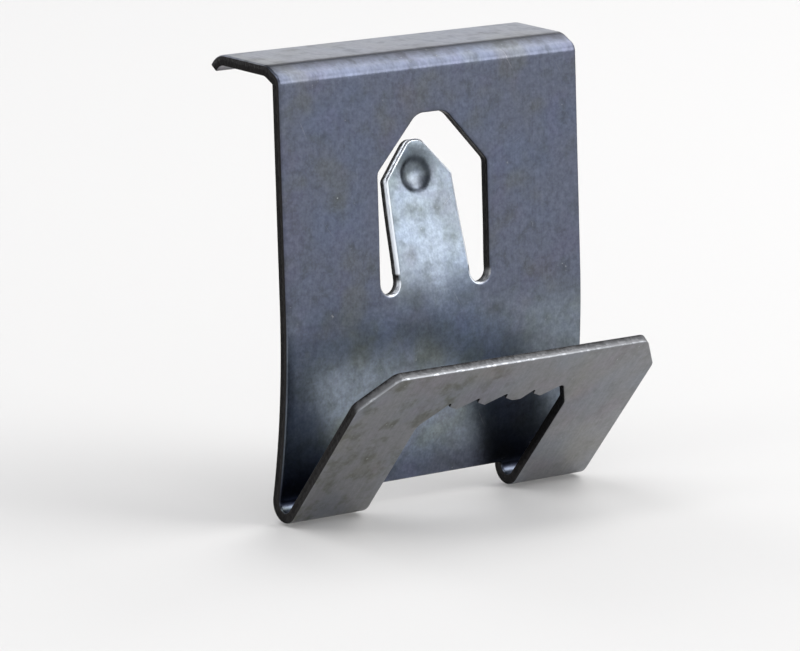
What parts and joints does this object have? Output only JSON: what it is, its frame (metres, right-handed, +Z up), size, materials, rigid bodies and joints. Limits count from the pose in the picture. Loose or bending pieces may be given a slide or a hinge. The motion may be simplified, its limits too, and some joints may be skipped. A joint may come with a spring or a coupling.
{
  "type": "sawtooth picture hanger",
  "caption": "Clip-on picture hanger bent from a strip of blued spring steel, with a lip that hooks over a board, a gripping tongue and a sawtooth flap for a nail.",
  "frame": {"origin": "middle of the flat underside of the lip, which sits on the top edge of a board", "axes": "+X along the lip, +Y back over the board, +Z up; the sawtooth flap leans out towards -Y"},
  "size_m": [0.0254, 0.0183, 0.0307],
  "materials": {
    "spring_steel": "blued spring steel, satin, with faint temper colours and bright sheared edges"
  },
  "bodies": {
    "hanger": {"top_lip": "spring_steel", "back_plate": "spring_steel", "left_bend": "spring_steel", "right_bend": "spring_steel"},
    "tongue": {"spring_tongue": "spring_steel"},
    "flap": {"saw_flap": "spring_steel"}
  },
  "joints": [
    {"name": "tongue_flex", "type": "hinge", "parent": "hanger", "child": "tongue", "pos_m": [0, -0.00456, -0.01418], "axis": [1, 0, 0], "range_deg": [-5, 5], "stiffness_Nm_per_rad": 10},
    {"name": "flap_flex", "type": "hinge", "parent": "hanger", "child": "flap", "pos_m": [0, -0.00589, -0.02915], "axis": [1, 0, 0], "range_deg": [-4, 4], "stiffness_Nm_per_rad": 13}
  ]
}
